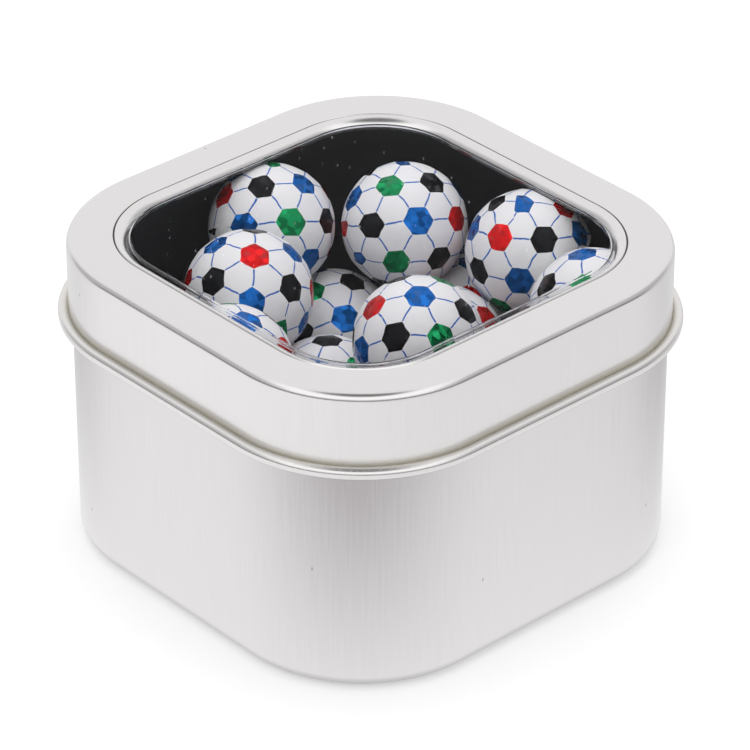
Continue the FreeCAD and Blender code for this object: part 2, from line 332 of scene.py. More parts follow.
def baked_lacquer():
    """Baked black lacquer on steel: near black, softly glossy, slightly mottled."""
    material, tree, output = new_material("baked_lacquer_black_and_crease_shade")
    place = add_node(tree, "ShaderNodeTexCoord")
    mottle = add_node(tree, "ShaderNodeTexNoise", sockets={
        "Vector": place.outputs["Object"], "Scale": 1 / MOTTLE_SIZE, "Detail": 2.0})
    colour = add_node(tree, "ShaderNodeMix", data_type="RGBA", sockets={
        0: mottle, 6: linear("#131215"), 7: linear("#201e22")})
    rough = add_node(tree, "ShaderNodeMapRange", sockets={
        "Value": mottle, "To Min": 0.36, "To Max": 0.48})
    film = add_node(tree, "ShaderNodeBsdfPrincipled", sockets={
        "Base Color": colour.outputs[2], "Roughness": rough, "IOR": 1.5})
    tree.links.new(film.outputs[0], output.inputs["Surface"])
    return material


lacquer = baked_lacquer()
print(lacquer.name, len(lacquer.node_tree.nodes), "nodes")

# %% [markdown]
# ## The can
# One blank is drawn into a square can with a rounded base edge, and its rim is curled inward so
# that it can't cut. The profile goes from the middle of the base, up the outside, over the curl,
# and down the inside to the middle of the floor, so the can is one closed surface with two poles.

# %% Can
SHEET = 0.3 * MM
BASE_RADIUS = 3.4 * MM
RIM_RADIUS = 0.8 * MM
CAN_CORNER = 24.49 * MM
# The painted corner shade: how far it reaches round from a corner, and the least of it elsewhere
CORNER_SHADE_REACH, CORNER_SHADE_LEAST = 14 * MM, 0.12

can_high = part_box("tin_body")[1]
can_half, rim_level = can_high[0], can_high[2] - RIM_RADIUS
can_path, can_outward = rounded_square(can_half, CAN_CORNER)
base_middle = BASE_RADIUS * (-1 + 1j)
rim_middle = -RIM_RADIUS + 1j * rim_level
plate_pull = np.array([0, 0.3, 0.6, 0.85])
can_outside = np.concatenate([
    np.full(len(plate_pull), -BASE_RADIUS + 0j),
    bend(base_middle, BASE_RADIUS, -90, 0, 14),
    np.linspace(1j * BASE_RADIUS, 1j * rim_level, 14)[1:-1],
    bend(rim_middle, RIM_RADIUS, 0, 90, 10),
])
can_inside = np.concatenate([
    bend(rim_middle, RIM_RADIUS, 105, 270, 14),
    bend(rim_middle, RIM_RADIUS - SHEET, 270, 0, 20),
    np.linspace(-SHEET + 1j * rim_level, -SHEET + 1j * BASE_RADIUS, 14)[1:-1],
    bend(base_middle, BASE_RADIUS - SHEET, 0, -90, 14),
    np.full(len(plate_pull), -BASE_RADIUS + 1j * SHEET),
])
can_profile = np.concatenate([can_outside, can_inside])
can_wall = np.ones(len(can_profile) - 2 * len(plate_pull))
can_pull = np.concatenate([plate_pull, can_wall, plate_pull[::-1]])
can_mesh = sheet_mesh("drawn_can", can_path, can_outward, can_profile, can_pull, ring=False)

# Painted shade at the can's corners, mostly for the darker reflection there, with a little real
# dulling from drawing: strongest in the middle of a corner and at the top of the wall. It falls
# off as e^-(s / reach)^2, with s the way round the wall from the middle of the corner.
can_points = np.empty(3 * len(can_mesh.vertices))
can_mesh.vertices.foreach_get("co", can_points)
can_points = can_points.reshape(-1, 3)
can_inner = can_half - CAN_CORNER
in_corner = np.maximum(np.abs(can_points[:, :2]) - can_inner, 1e-9)
round_corner = CAN_CORNER * np.abs(np.arctan2(in_corner[:, 1], in_corner[:, 0]) - np.pi / 4)
along_side = np.maximum(can_inner - np.abs(can_points[:, :2]).min(axis=1), 0)
corner_share = np.exp(-((round_corner + along_side) / CORNER_SHADE_REACH) ** 2)
height_share = np.clip(can_points[:, 2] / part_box("lid_shell")[0][2], 0, 1)
darkening = (CORNER_SHADE_LEAST + (1 - CORNER_SHADE_LEAST) * corner_share) * height_share
can_mesh.attributes.new("painted_corner_shade", "FLOAT", "POINT").data.foreach_set("value", darkening)

can = add_piece(can_mesh, [tinplate, lacquer], "tin", "tin_body")
print(can.name, len(can_mesh.polygons), "faces")

# %% [markdown]
# Two finishes share the can's mesh: tinplate outside and lacquer inside. A face is inside if it
# looks towards the middle of the can's mouth, at the level of the curl's own middle.

# %% Lacquer inside
def face_vectors(mesh, kind):
    """The middle ("center") or the normal ("normal") of every face, one row each."""
    values = np.empty(3 * len(mesh.polygons))
    mesh.polygons.foreach_get(kind, values)
    return values.reshape(-1, 3)


from_rim = face_vectors(can_mesh, "center") - [0, 0, rim_level]
faces_in = (face_vectors(can_mesh, "normal") * from_rim).sum(axis=1) < 0
can_mesh.polygons.foreach_set("material_index", faces_in.astype(np.int32))
print(faces_in.sum(), "lacquered faces")

# %% [markdown]
# ## The slip lid
# The lid is pressed from one sheet too: its skirt slips over the can, its hem is curled outward,
# and round the window its edge is rolled down into a broad lip, set off from the frame by a sharp
# crease, whose bottom is painted dark as shade. Its profile is a closed ring: up the skirt, over
# the shoulder, across the frame, into the crease, down the lip, and back along the other side. The
# lip is part of an oval, so that it starts with a slope and ends steep.

# %% Lid profile
SHOULDER_RADIUS = 1.5 * MM
HEM_RADIUS, HEM_START, HEM_END = 1.05 * MM, 180, 494
FRAME_WIDTH = 9.8 * MM
LIP_RADIUS, LIP_SQUASH, LIP_FIRST, LIP_LAST = 2.75 * MM, 0.764, 108, 164.5
LIP_UNDER_SQUASH, LIP_UNDER_FIRST = 0.735, 115
CREASE_DEPTH, CREASE_WIDTH, CREASE_LEAN = 0.2 * MM, 0.16 * MM, 0.14 * MM
CREASE_UNDER_SHIFT = 0.1 * MM
LID_CORNER = 25.09 * MM

lid_low, lid_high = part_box("lid_shell")
lid_top = lid_high[2]
hem_level = lid_low[2] + HEM_RADIUS
shoulder_middle = -SHOULDER_RADIUS + 1j * (lid_top - SHOULDER_RADIUS)
lip = bend(0, LIP_RADIUS, LIP_FIRST, LIP_LAST, 18, LIP_SQUASH)
lip_middle = -FRAME_WIDTH - lip[-1].real + 1j * (lid_top - lip[0].imag)
lip_start = lip_middle + lip[0]
crease = lip_start + CREASE_LEAN - 1j * CREASE_DEPTH
dip_middle = crease + CREASE_WIDTH + CREASE_DEPTH
hem_middle = HEM_RADIUS - SHEET + 1j * hem_level
lid_profile = np.concatenate([
    np.linspace(1j * hem_level, 1j * shoulder_middle.imag, 26)[:-1],
    bend(shoulder_middle, SHOULDER_RADIUS, 0, 90, 14),
    bend(dip_middle, CREASE_DEPTH, 90, 180, 10),
    [crease],
    lip_middle + lip,
    bend(lip_middle, LIP_RADIUS - SHEET, LIP_LAST, LIP_UNDER_FIRST, 12, LIP_UNDER_SQUASH),
    [crease - CREASE_UNDER_SHIFT - 1j * SHEET, dip_middle - 1j * SHEET,
     dip_middle + CREASE_DEPTH * 1j - SHEET * (1j - 1)],
    bend(shoulder_middle, SHOULDER_RADIUS - SHEET, 90, 0, 12),
    bend(hem_middle, HEM_RADIUS, HEM_START, HEM_END, 36),
    bend(hem_middle, HEM_RADIUS - SHEET, HEM_END, HEM_START, 30)[:-1],
])
print("the lid's profile has", len(lid_profile), "points")

# %% [markdown]
# The lid takes tinplate all over, but for the bottom of the crease, which takes the dark lacquer as
# painted shade. A stretch of the profile belongs to it if its middle is close to the crease and on
# the frame's side.
# The hazing and the painted warm shade where the hem curls fall off as e^-(s / reach)^2, with s
# the distance from its tip.

# %% Lid
HAZE_AND_SHADE_REACH = 1.0 * MM
CREASE_NEAR, CREASE_SIDE = 0.75 * CREASE_WIDTH, 0.01 * CREASE_WIDTH

lid_half = lid_high[0] - 2 * HEM_RADIUS + SHEET
lid_path, lid_outward = rounded_square(lid_half, LID_CORNER)
lid_pull = np.ones(len(lid_profile))
lid_mesh = sheet_mesh("slip_lid", lid_path, lid_outward, lid_profile, lid_pull, ring=True)
lid = add_piece(lid_mesh, [tinplate, lacquer], "lid", "lid_shell")

curl_tip = bend(hem_middle, HEM_RADIUS, HEM_END, HEM_END, 1)
curl_haze_and_shade = np.exp(-(np.abs(lid_profile - curl_tip) / HAZE_AND_SHADE_REACH) ** 2)
lid_haze_and_shade = lid_mesh.attributes.new("curling_haze_and_shade", "FLOAT", "POINT")
lid_haze_and_shade.data.foreach_set("value", np.tile(curl_haze_and_shade, len(lid_path)))

# Painted shade: the bottom of the crease takes the dark lacquer
stretch_middle = (lid_profile + np.roll(lid_profile, -1)) / 2 - crease
crease_shade_rows = np.abs(stretch_middle - CREASE_WIDTH / 2) < CREASE_NEAR
crease_shade_rows &= stretch_middle.real > CREASE_SIDE
lid_mesh.polygons.foreach_set("material_index", np.tile(crease_shade_rows, len(lid_path)).astype(np.int32))
print(lid.name, len(lid_mesh.polygons), "faces,", crease_shade_rows.sum(), "rows of them in the crease")

# %% [markdown]
# ## Clear sheet for the window
# The window is a thin sheet of clear plastic, warmed and pressed up into the lid. It is nearly
# unseen but for the bright lines along its bend, and fine dust that clings to it. Light has to
# pass to the balls below, so the sheet is let through for shadow rays; dust is white and dull.
# A speck sits in the middle of a cell of a random pattern, and only some cells have one.

# %% Clear sheet
DUST_SPACING, DUST_SIZE, DUST_SHARE = 2.0 * MM, 0.14 * MM, 0.2
DUST_COVER, DUST_ROUGHNESS = 0.15, 0.6
FACE_INDEX, BEND_INDEX = 1.06, 1.5


def clear_sheet(name, index, dust_size):
    """Clear thermoformed PET of a given refractive index: smooth, with specks of white dust.

    PET has an index of 1.57. On the face it is set lower, because the face shows hardly any glare
    in the photograph, as behind a polarising filter.
    """
    material, tree, output = new_material(name)
    place = add_node(tree, "ShaderNodeTexCoord")
    cells = add_node(tree, "ShaderNodeTexVoronoi", voronoi_dimensions="2D", sockets={
        "Vector": place.outputs["Object"], "Scale": 1 / DUST_SPACING})
    lot = add_node(tree, "ShaderNodeSeparateXYZ", cells.outputs["Color"])
    size = add_node(tree, "ShaderNodeMapRange", sockets={
        "Value": lot, "From Min": 1 - DUST_SHARE, "From Max": 1.0,
        "To Max": dust_size / DUST_SPACING})
    dust = add_node(tree, "ShaderNodeMath", cells.outputs["Distance"], size, operation="LESS_THAN")
    clear = add_node(tree, "ShaderNodeMath", dust, -DUST_COVER, 1.0, operation="MULTIPLY_ADD")
    rough = add_node(tree, "ShaderNodeMath", dust, DUST_ROUGHNESS, operation="MULTIPLY")
    sheet = add_node(tree, "ShaderNodeBsdfPrincipled", sockets={
        "Base Color": linear("#fbfcff"), "Roughness": rough, "IOR": index,
        "Transmission Weight": clear})
    through = add_node(tree, "ShaderNodeBsdfTransparent", linear("#fdfdfe"))
    ray = add_node(tree, "ShaderNodeLightPath")
    unseen = add_node(tree, "ShaderNodeMath", ray.outputs["Is Shadow Ray"],
                      ray.outputs["Is Diffuse Ray"], operation="MAXIMUM")
    shown = add_node(tree, "ShaderNodeMixShader", unseen, sheet, through)
    tree.links.new(shown.outputs[0], output.inputs["Surface"])
    return material


window_clear = [clear_sheet("clear_sheet_formed_face", FACE_INDEX, DUST_SIZE),
                clear_sheet("clear_sheet_formed_bend", BEND_INDEX, 0.0)]
print([material.name for material in window_clear])

# %% [markdown]
# ## The window
# Its raised face fills the opening, a small bend takes it down beside the lip, and a flange lies
# under the lid's frame, drawn thin here so that it clears the lip. The profile runs out along the
# underside and back along the top, with a pole in the middle of each face.

# %% Window
PANE_SHEET = 0.3 * MM
PANE_BEND = 0.5 * MM
PANE_HALF, PANE_CORNER = 32.43 * MM, 14.99 * MM
FLANGE_BELOW, FLANGE_ABOVE = 0.08 * MM, 0.05 * MM
LEVEL_NORMAL = 0.999

pane_low, pane_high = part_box("window_pane")
flange_reach = pane_high[0] - PANE_HALF
pane_path, pane_outward = rounded_square(PANE_HALF, PANE_CORNER)
bend_middle = -PANE_BEND + 1j * (pane_high[2] - PANE_BEND)
flange_under, flange_top = pane_low[2] - FLANGE_BELOW, pane_low[2] + FLANGE_ABOVE
pane_profile = np.concatenate([
    np.full(len(plate_pull), -PANE_BEND + 1j * (pane_high[2] - PANE_SHEET)),
    bend(bend_middle, PANE_BEND - PANE_SHEET, 90, 0, 10),
    np.array([-PANE_SHEET + 1j * flange_under, flange_reach + 1j * flange_under,
              flange_reach + 1j * flange_top, 1j * flange_top]),
    bend(bend_middle, PANE_BEND, 0, 90, 12),
    np.full(len(plate_pull), -PANE_BEND + 1j * pane_high[2]),
])
pane_wall = np.ones(len(pane_profile) - 2 * len(plate_pull))
pane_pull = np.concatenate([plate_pull, pane_wall, plate_pull[::-1]])
pane_mesh = sheet_mesh("formed_window", pane_path, pane_outward, pane_profile, pane_pull,
                       ring=False)
pane = add_piece(pane_mesh, window_clear, "lid", "window_pane")
on_bend = ((np.abs(face_vectors(pane_mesh, "normal")[:, 2]) < LEVEL_NORMAL)
           | (face_vectors(pane_mesh, "center")[:, 2] < bend_middle.imag))
pane_mesh.polygons.foreach_set("material_index", on_bend.astype(np.int32))
print(pane.name, len(pane_mesh.polygons), "faces,", on_bend.sum(), "on its bend and flange")

# %% [markdown]
# ## Printed foil
# The balls are wrapped in thin aluminium foil printed with the common football panels: on white,
# a honeycomb of coloured patches joined by thin blue lines. The print is flat and the foil is
# folded round the ball afterwards, so the pattern is drawn in the foil's own UV map, measured in
# pitches from patch to patch. The patches stand on a lattice of triangles, which is two lattices
# of rectangles laid one in the middle of the other: the nearer point of the two is the patch.

# %% Foil lattice
PRINT_PITCH = 8.4 * MM
WOBBLE_SIZE, WOBBLE = 3.2 * MM, 0.1
ROW_STEP = np.sqrt(3)
MID_NOISE = (0.5, 0.5, 0.5)


def print_place(tree):
    """The place on the flat print in pitches: the UV, moved aside a little by soft noise."""
    flat = add_node(tree, "ShaderNodeUVMap", uv_map="surface")
    wobble = add_node(tree, "ShaderNodeTexNoise", sockets={
        "Vector": flat, "Scale": PRINT_PITCH / WOBBLE_SIZE, "Detail": 2.0})
    shift = add_node(tree, "ShaderNodeVectorMath", wobble.outputs["Color"], MID_NOISE,
                     operation="SUBTRACT")
    return add_node(tree, "ShaderNodeVectorMath", shift, (WOBBLE, WOBBLE, 0), flat,
                    operation="MULTIPLY_ADD")


def nearest_patch(tree, place):
    """The nearest patch's middle, the way to here from it, its length, and 1 for the odd lattice.

    Even middles stand at whole cells, so a place moved on by half a cell is snapped down to them.
    Odd ones stand half a cell on from the cell that the place itself is snapped down to.
    """
    cell, half_cell = (1, ROW_STEP, 1), (0.5, ROW_STEP / 2, 0)
    moved = add_node(tree, "ShaderNodeVectorMath", place, half_cell, operation="ADD")
    even = add_node(tree, "ShaderNodeVectorMath", moved, cell, operation="SNAP")
    corner = add_node(tree, "ShaderNodeVectorMath", place, cell, operation="SNAP")
    odd = add_node(tree, "ShaderNodeVectorMath", corner, half_cell, operation="ADD")
    from_even, from_odd = (
        add_node(tree, "ShaderNodeVectorMath", place, point, operation="SUBTRACT")
        for point in (even, odd))
    to_even, to_odd = (
        add_node(tree, "ShaderNodeVectorMath", way, operation="LENGTH").outputs["Value"]
        for way in (from_even, from_odd))
    odd_nearer = add_node(tree, "ShaderNodeMath", to_odd, to_even, operation="LESS_THAN")
    reach = add_node(tree, "ShaderNodeMath", to_odd, to_even, operation="MINIMUM")
    middle, offset = (
        add_node(tree, "ShaderNodeMix", data_type="VECTOR", sockets={
            0: odd_nearer, 4: of_even, 5: of_odd}).outputs[1]
        for of_even, of_odd in ((even, odd), (from_even, from_odd)))
    return middle, offset, reach, odd_nearer


print("a patch every %.1f mm along a row" % (PRINT_PITCH / MM))

# %% [markdown]
# Along a row the patches go through three kinds: black, blue, and one that is red in even rows and
# green in odd ones. So the patch's own place in the lattice picks its ink from a short ramp.

# %% Inks
INKS = [(0.0, "#cc060c"), (1 / 6, "#00864c"), (2 / 6, "#08080b"), (4 / 6, "#005aa6")]
KINDS, ODD_ROW_STEP = 3, 1.5


def patch_ink(tree, middle, odd_nearer):
    """A patch's ink: its kind is its step along the row, modulo 3; the ramp reads 2 kind + row.

    A quarter is added to the step, so that rounding can't move it across a whole number.
    """
    middle_x = add_node(tree, "ShaderNodeSeparateXYZ", middle)
    step = add_node(tree, "ShaderNodeMath", odd_nearer, ODD_ROW_STEP, middle_x,
                    operation="MULTIPLY_ADD")
    safe_step = add_node(tree, "ShaderNodeMath", step, 0.25, operation="ADD")
    kind = add_node(tree, "ShaderNodeMath", safe_step, float(KINDS), operation="FLOORED_MODULO")
    kind_row = add_node(tree, "ShaderNodeMath", kind, 2.0, odd_nearer, operation="MULTIPLY_ADD")
    ink_place = add_node(tree, "ShaderNodeMath", kind_row, 2.0 * KINDS, operation="DIVIDE")
    ink = add_node(tree, "ShaderNodeValToRGB", ink_place)
    ink.color_ramp.interpolation = "CONSTANT"
    while len(ink.color_ramp.elements) < len(INKS):
        ink.color_ramp.elements.new(1.0)
    for element, (start, colour) in zip(ink.color_ramp.elements, INKS):
        element.position, element.color = start, linear(colour)
    return ink


print(len(INKS), "inks")

# %% [markdown]
# A patch is a hexagon and the lines run straight from patch to patch, so both follow from the
# bearing about the patch's middle, folded into one twelfth of a turn by a back-and-forth node.

# %% Patches and lines
PATCH_SIZE = 2.7 * MM / PRINT_PITCH
LINE_HALF_WIDTH = 0.14 * MM / PRINT_PITCH
LINE_START = 0.33


def patch_and_line(tree, offset, reach):
    """Two masks, from the bearing folded into a, which goes from 0 to 30 degrees.

    Patch: reach cos(30 deg - a) < size cos(30 deg). Line: reach sin(a) < half width, and past
    the line's start.
    """
    twelfth = np.pi / 6
    way = add_node(tree, "ShaderNodeSeparateXYZ", offset)
    bearing = add_node(tree, "ShaderNodeMath", way.outputs["Y"], way.outputs["X"],
                       operation="ARCTAN2")
    folded = add_node(tree, "ShaderNodeMath", bearing, twelfth, operation="PINGPONG")
    from_side = add_node(tree, "ShaderNodeMath", twelfth, folded, operation="SUBTRACT")
    side_cosine = add_node(tree, "ShaderNodeMath", from_side, operation="COSINE")
    side_reach = add_node(tree, "ShaderNodeMath", reach, side_cosine, operation="MULTIPLY")
    patch = add_node(tree, "ShaderNodeMath", side_reach, PATCH_SIZE * np.cos(twelfth),
                     operation="LESS_THAN")
    aside = add_node(tree, "ShaderNodeMath", folded, operation="SINE")
    off_line = add_node(tree, "ShaderNodeMath", reach, aside, operation="MULTIPLY")
    near_line = add_node(tree, "ShaderNodeMath", off_line, LINE_HALF_WIDTH, operation="LESS_THAN")
    outside = add_node(tree, "ShaderNodeMath", reach, LINE_START, operation="GREATER_THAN")
    line = add_node(tree, "ShaderNodeMath", near_line, outside, operation="MULTIPLY")
    return patch, line


print("a patch is %.1f mm across its corners" % (2 * PATCH_SIZE * PRINT_PITCH / MM))

# %% [markdown]
# Coloured ink is clear over the foil, so it shines like metal; the white is a satin cover coat. The
# foil is crinkled: it breaks into small facets, each a plane with its own random tilt, which show
# far more in the shiny ink than in the white.

# %% Printed foil
WHITE_COAT, LINE_INK = "#e8e6e5", "#2560b0"
FACET_SIZE = 1.1 * MM
INK_METAL = 0.5
FOIL_ROUGHNESS, CRINKLE = (0.4, 0.24), (0.08, 0.9)


def printed_foil():
    """Aluminium foil with a white coat and clear coloured inks: satin white, shiny patches.

    A facet's height is its random tilt times the way from its middle, as a dot product.
    """
    material, tree, output = new_material("printed_foil_crinkled")
    place = print_place(tree)
    middle, offset, reach, odd_nearer = nearest_patch(tree, place)
    ink = patch_ink(tree, middle, odd_nearer)
    patch, line = patch_and_line(tree, offset, reach)
    lined = add_node(tree, "ShaderNodeMix", data_type="RGBA", sockets={
        0: line, 6: linear(WHITE_COAT), 7: linear(LINE_INK)})
    colour = add_node(tree, "ShaderNodeMix", data_type="RGBA", sockets={
        0: patch, 6: lined.outputs[2], 7: ink})
    metal = add_node(tree, "ShaderNodeMath", patch, INK_METAL, operation="MULTIPLY")
    rough, crinkle = (
        add_node(tree, "ShaderNodeMapRange", sockets={
            "Value": patch, "To Min": white, "To Max": inked})
        for white, inked in (FOIL_ROUGHNESS, CRINKLE))
    facets = add_node(tree, "ShaderNodeTexVoronoi", voronoi_dimensions="2D", sockets={
        "Vector": place, "Scale": PRINT_PITCH / FACET_SIZE})
    from_middle = add_node(tree, "ShaderNodeVectorMath", place, facets.outputs["Position"],
                           operation="SUBTRACT")
    tilt = add_node(tree, "ShaderNodeVectorMath", facets.outputs["Color"], MID_NOISE,
                    operation="SUBTRACT")
    height = add_node(tree, "ShaderNodeVectorMath", from_middle, tilt, operation="DOT_PRODUCT")
    relief = add_node(tree, "ShaderNodeBump", sockets={
        "Strength": crinkle, "Distance": PRINT_PITCH, "Height": height.outputs["Value"]})
    foil = add_node(tree, "ShaderNodeBsdfPrincipled", sockets={
        "Base Color": colour.outputs[2], "Metallic": metal, "Roughness": rough, "Normal": relief,
        "IOR": 1.4, "Specular IOR Level": 0.2})
    tree.links.new(foil.outputs[0], output.inputs["Surface"])
    return material


foil_print = printed_foil()
print(foil_print.name, len(foil_print.node_tree.nodes), "nodes")

# %% [markdown]
# ## Wrapping a ball
# A flat sheet can't lie smoothly on a ball. Foil is laid on at the middle of the print, rubbed
# down, and gathered in pleats on the far side. The grid is polar about that middle. Near it the
# foil is stretched; further out each sector keeps its own width, and what is too much is tucked
# into the pleat beside it, so there the print breaks, as it does on the real thing. Fingers leave
# small flats, so the ball is very slightly the shape of a many-sided stone.

# %% Wrapped ball
AROUND, DOWN = 144, 73
PLEATS, FLATS = 9, 110
FLAT_DEPTH, FLAT_LIMIT = 0.22, 0.03
PLEAT_FIRST, PLEAT_FULL = np.radians(48), np.radians(85)
PLEAT_HEIGHT, PLEAT_WIDTH = 0.07 * MM, 0.5 * MM
FOIL_INSET, FOIL_PROUD = 0.08 * MM, 0.03 * MM


def smooth_step(low, high, values):
    """0 below low and 1 above high, with 3t^2 - 2t^3 between them."""
    t = np.clip((values - low) / (high - low), 0, 1)
    return t * t * (3 - 2 * t)


def wrapped_ball(name, centre, radius, facing, along, origin, draws):
    """A foil-wrapped ball in polar angles t from the far pole to the facing one, and p round it.

    Flat print: t R (cos q, sin q), where q is p drawn in to its sector's middle by sin t / t once
    the foil is pleated. Radius: R with flats, R (1 + depth (1 / c - 1)) with c the cosine to the
    nearest flat's middle, less a small inset, and a low ridge along each pleat.
    """
    t = np.linspace(np.pi, 0, DOWN)
    p = np.arange(AROUND) * 2 * np.pi / AROUND
    pleated = smooth_step(PLEAT_FIRST, PLEAT_FULL, t)
    starts = np.floor((np.arange(PLEATS) + draws.uniform(0.1, 0.6, PLEATS)) * AROUND / PLEATS)
    edges = np.append(starts, starts[0] + AROUND)
    column = np.arange(AROUND) + np.where(np.arange(AROUND) < starts[0], AROUND, 0)
    sector = np.searchsorted(edges, column, side="right") - 1
    middle = (edges[sector] + edges[sector + 1]) / 2
    keep = 1 - pleated * (1 - np.sinc(t / np.pi))
    flat_left, flat_right = (
        (middle[:, None] + (column + ahead - middle)[:, None] * keep) * 2 * np.pi / AROUND
        for ahead in (0, 1))
    uv_left, uv_right = (
        np.stack([np.cos(q), np.sin(q)], axis=-1) * (t * radius / PRINT_PITCH)[:, None] + origin
        for q in (flat_left, flat_right))

    across = np.cross(facing, along)
    turned = np.cos(p)[:, None] * along + np.sin(p)[:, None] * across
    way = np.sin(t)[:, None] * turned[:, None, :] + np.cos(t)[:, None] * facing
    flats = draws.normal(size=(FLATS, 3))
    flats /= np.linalg.norm(flats, axis=1)[:, None]
    nearest = (way @ flats.T).max(axis=2)
    from_pleat = np.abs(column[:, None] - edges).min(axis=1) * 2 * np.pi / AROUND
    ridge = np.exp(-(from_pleat[:, None] * np.sin(t) * radius / PLEAT_WIDTH) ** 2) * pleated
    flatted = radius * (1 + FLAT_DEPTH * np.minimum(1 / nearest - 1, FLAT_LIMIT))
    out = np.minimum(flatted - FOIL_INSET + PLEAT_HEIGHT * ridge, radius + FOIL_PROUD)
    out[:, [0, -1]] = out[:, [0, -1]].mean(axis=0)
    return grid_mesh(name, centre + out[..., None] * way, uv_left, uv_right, ring=False)


print("a ball's grid is", AROUND, "by", DOWN, "points")

# %% [markdown]
# ## The fill
# Ten balls show through the window. For each of these a row says where one patch of its print is
# seen: across and up from the ball's middle in radii, which way its row of patches runs, and its
# ink. The balls hidden below lie any way round, from a seeded draw.

# %% Balls
PATCH_PLACES = {"red": (0.0, 0.0), "green": (1.5, ROW_STEP / 2),
                "black": (1.0, 0.0), "blue": (2.0, 0.0)}
HIDDEN_REACH = 0.6
SEEN_BALLS = {
    "16": (0.33, 0.03, 4, "green"),
    "17": (0.21, 0.03, 5, "blue"),
    "18": (-0.17, -0.47, 115, "blue"),
    "19": (0.12, 0.58, 85, "red"),
    "13": (0.20, 0.19, 16, "blue"),
    "20": (0.02, 0.68, 177, "blue"),
    "21": (-0.20, 0.90, 57, "blue"),
    "22": (0.29, 0.73, -15, "blue"),
    "14": (0.00, 0.92, 30, "black"),
    "15": (0.69, 0.48, 20, "red"),
}
draws = np.random.default_rng(22)
for ball_body in sorted(name for name in frame["bodies"] if name.startswith("ball_")):
    number = ball_body[-2:]
    low, high = (np.array(corner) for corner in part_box("foil_wrap_" + number))
    if number in SEEN_BALLS:
        right, up, turn, ink = SEEN_BALLS[number]
    else:
        right, up = draws.uniform(-HIDDEN_REACH, HIDDEN_REACH, 2)
        turn, ink = draws.uniform(0, 360), str(draws.choice(sorted(PATCH_PLACES)))
    facing = right * view_right + up * view_up + np.sqrt(1 - right ** 2 - up ** 2) * view_back
    row = np.cos(np.radians(turn)) * view_right + np.sin(np.radians(turn)) * view_up
    row -= (row @ facing) * facing
    ball_mesh = wrapped_ball("wrapped_ball_" + number, (low + high) / 2, (high[0] - low[0]) / 2,
                             facing, row / np.linalg.norm(row), PATCH_PLACES[ink], draws)
    add_piece(ball_mesh, [foil_print], ball_body, "foil_wrap_" + number)
print(len(ball_mesh.polygons), "faces in a ball")

# %% [markdown]
# ## Chocolate
# Inside each foil the CAD ball stays, because its shape is right. Milk chocolate is a warm brown
# with a dull sheen from the mould and faint paler bloom, which soft noise gives.

# %% Chocolate
BLOOM_SIZE = 4 * MM


def moulded_chocolate():
    """Moulded milk chocolate: brown, dull sheen, faint bloom a few millimetres across."""
    material, tree, output = new_material("milk_chocolate_moulded")
    place = add_node(tree, "ShaderNodeTexCoord")
    bloom = add_node(tree, "ShaderNodeTexNoise", sockets={
        "Vector": place.outputs["Object"], "Scale": 1 / BLOOM_SIZE, "Detail": 4.0})
    colour = add_node(tree, "ShaderNodeMix", data_type="RGBA", sockets={
        0: bloom, 6: linear("#4a2a18"), 7: linear("#6b4430")})
    rough = add_node(tree, "ShaderNodeMapRange", sockets={
        "Value": bloom, "To Min": 0.35, "To Max": 0.6})
    choc = add_node(tree, "ShaderNodeBsdfPrincipled", sockets={
        "Base Color": colour.outputs[2], "Roughness": rough, "IOR": 1.5})
    tree.links.new(choc.outputs[0], output.inputs["Surface"])
    return material


chocolate = moulded_chocolate()
cores = [node for name, node in frame["nodes"].items() if name.startswith("chocolate_ball_")]
for core in cores:
    core.data.materials.clear()
    core.data.materials.append(chocolate)
print(len(cores), "chocolate balls")

# %% [markdown]
# ## Floor, light and background
# The tin stands on a sweep of white paper that rises behind it, and white is what its metal shows.
# The floor and the world are white to the eye but light the object only at a plain level. In
# reflections the room in front of the paper is dark along its horizon, to both sides, and overhead.
# The metal's rolled edges sweep past these, which draws their thin dark lines, and past a brighter
# front, which draws the white ones. The floor they show is shaded behind the tin and close to it.

# %% Stage
FLOOR_HALF, FLOOR_DROP = 3.0, 0.1 * MM
RANGE_SOCKETS = ("From Min", "From Max", "To Min", "To Max")
# Each of these is a stretch in metres, then what the floor gives at its start and at its end
OWN_WHITE = (0.2, 0.9, 0.3, 0.45)
MIRRORED_ASIDE = (-0.12, 0.12, 1.09, 0.96)
MIRRORED_DEPTH = (-0.045, 0.01, 0.83, 1.0)
MIRRORED_CONTACT = (CAN_CORNER - 2.5 * MM, CAN_CORNER + 1.5 * MM, 0.5, 1.0)

floor_mesh = bpy.data.meshes.new("floor")
floor_corners = FLOOR_HALF * np.array([[-1, -1, 0], [1, -1, 0], [1, 1, 0], [-1, 1, 0]])
floor_corners -= [0, 0, FLOOR_DROP]
floor_mesh.from_pydata(floor_corners.tolist(), [], [[0, 1, 2, 3]])
floor = bpy.data.objects.new("floor", floor_mesh)
bpy.context.scene.collection.objects.link(floor)

paper, tree, output = new_material("white_paper_floor")
ray = add_node(tree, "ShaderNodeLightPath")
place = add_node(tree, "ShaderNodeTexCoord").outputs["Object"]
away = add_node(tree, "ShaderNodeVectorMath", place, operation="LENGTH")
aside = add_node(tree, "ShaderNodeVectorMath", place, tuple(view_right), operation="DOT_PRODUCT")
depth = add_node(tree, "ShaderNodeVectorMath", place, (*view_back[:2], 0), operation="DOT_PRODUCT")
